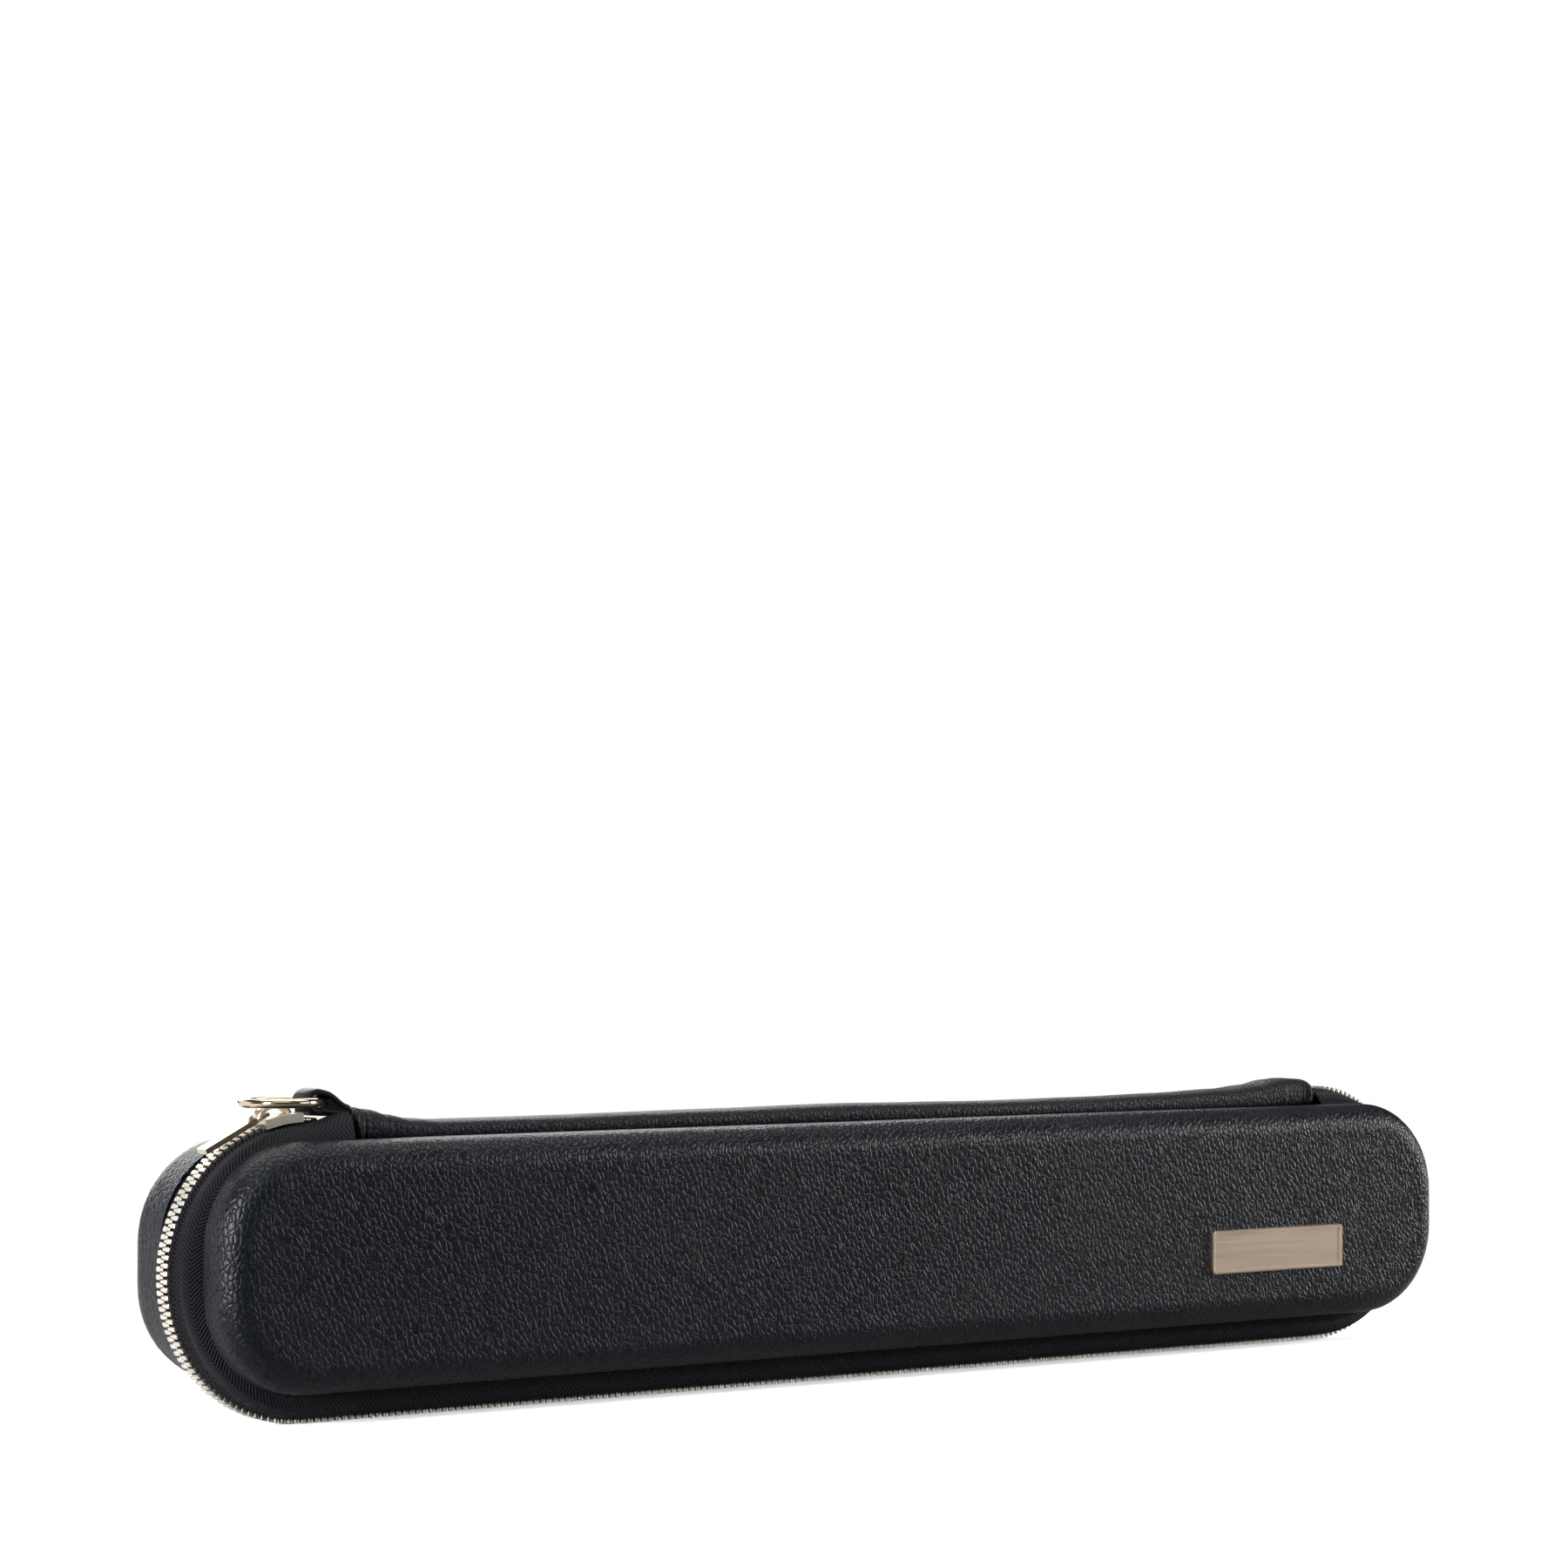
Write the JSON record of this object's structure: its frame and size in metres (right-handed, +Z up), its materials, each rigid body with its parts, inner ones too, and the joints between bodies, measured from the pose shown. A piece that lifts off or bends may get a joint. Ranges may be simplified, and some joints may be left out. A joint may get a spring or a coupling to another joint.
{
  "type": "baton case",
  "caption": "Long slim leather case with rounded ends, a zip all round, a leather spine hinge, a metal ring and a bare nameplate, padded inside for batons",
  "frame": {"origin": "on the plane the closed case stands on, under the middle of its outer box", "axes": "+X along the case away from the ring end, +Y from the nameplate face to the back, +Z up"},
  "size_m": [0.496, 0.0598, 0.0966],
  "materials": {
    "case_leather": "pebbled, satin",
    "loop_leather": "smooth, glossy",
    "board": "bare fibre board",
    "spine_stay": "matt",
    "plush": "short pile",
    "pad_cloth": "padded plush",
    "foam": "foam under plush",
    "zip_tape": "herringbone weave",
    "elastic": "ribbed elastic",
    "zip_metal": "pale gold, polished",
    "fittings": "pale gold, polished",
    "plate_metal": "brushed"
  },
  "bodies": {
    "base": {"rear_cover": "case_leather", "rear_shell": "board", "rear_shell_wall": "board", "rear_lining": "plush", "rear_tape": "zip_tape", "rear_teeth_bottom": "zip_metal", "rear_teeth_left": "zip_metal", "rear_teeth_right": "zip_metal", "rear_zip_stop": "zip_metal", "baton_rest_left": "foam", "baton_rest_right": "foam", "elastic_strap_left": "elastic", "elastic_strap_right": "elastic", "strap_rivets": "fittings"},
    "lid": {"front_cover": "case_leather", "front_shell": "board", "front_shell_wall": "board", "front_lining": "plush", "front_tape": "zip_tape", "front_tape_end": "zip_tape", "front_teeth_bottom": "zip_metal", "front_teeth_left": "zip_metal", "front_teeth_right": "zip_metal", "front_teeth_end": "zip_metal", "front_zip_stop": "zip_metal", "lid_pad": "pad_cloth", "nameplate": "plate_metal", "nameplate_pins": "plate_metal"},
    "spine": {"spine_cover": "case_leather", "spine_core": "spine_stay", "spine_end_left": "case_leather", "spine_end_right": "case_leather", "hinge_web_front": "case_leather", "hinge_web_rear": "case_leather", "leather_loop": "loop_leather"},
    "ring": {"carry_ring": "fittings"},
    "slider": {"slider_body": "fittings", "slider_underplate": "fittings", "slider_bridge": "fittings"},
    "pull": {"pull_tab": "fittings"}
  },
  "joints": [
    {"name": "spine_hinge", "type": "hinge", "parent": "base", "child": "spine", "pos_m": [0, 0.0034, 0.086], "axis": [-1, 0, 0], "range_deg": [0, 60], "deforming": ["hinge_web_rear"]},
    {"name": "lid_hinge", "type": "hinge", "parent": "spine", "child": "lid", "pos_m": [0, -0.0086, 0.086], "axis": [-1, 0, 0], "range_deg": [0, 60], "deforming": ["hinge_web_front", "front_tape_end", "front_teeth_end", "front_zip_stop"]},
    {"name": "ring_swing", "type": "hinge", "parent": "spine", "child": "ring", "pos_m": [-0.1993, -0.0026, 0.0926], "axis": [0, 1, 0], "range_deg": [0, 170]},
    {"name": "slider_travel", "type": "hinge", "parent": "base", "child": "slider", "pos_m": [-0.204, -0.0026, 0.044], "axis": [0, -1, 0], "range_deg": [0, 140]},
    {"name": "pull_swing", "type": "hinge", "parent": "slider", "child": "pull", "pos_m": [-0.21543, -0.0026, 0.08918], "axis": [0, 1, 0], "range_deg": [0, 26]}
  ],
  "couplings": [
    {"joint": "lid_hinge", "follows": "spine_hinge", "ratio": 1}
  ]
}
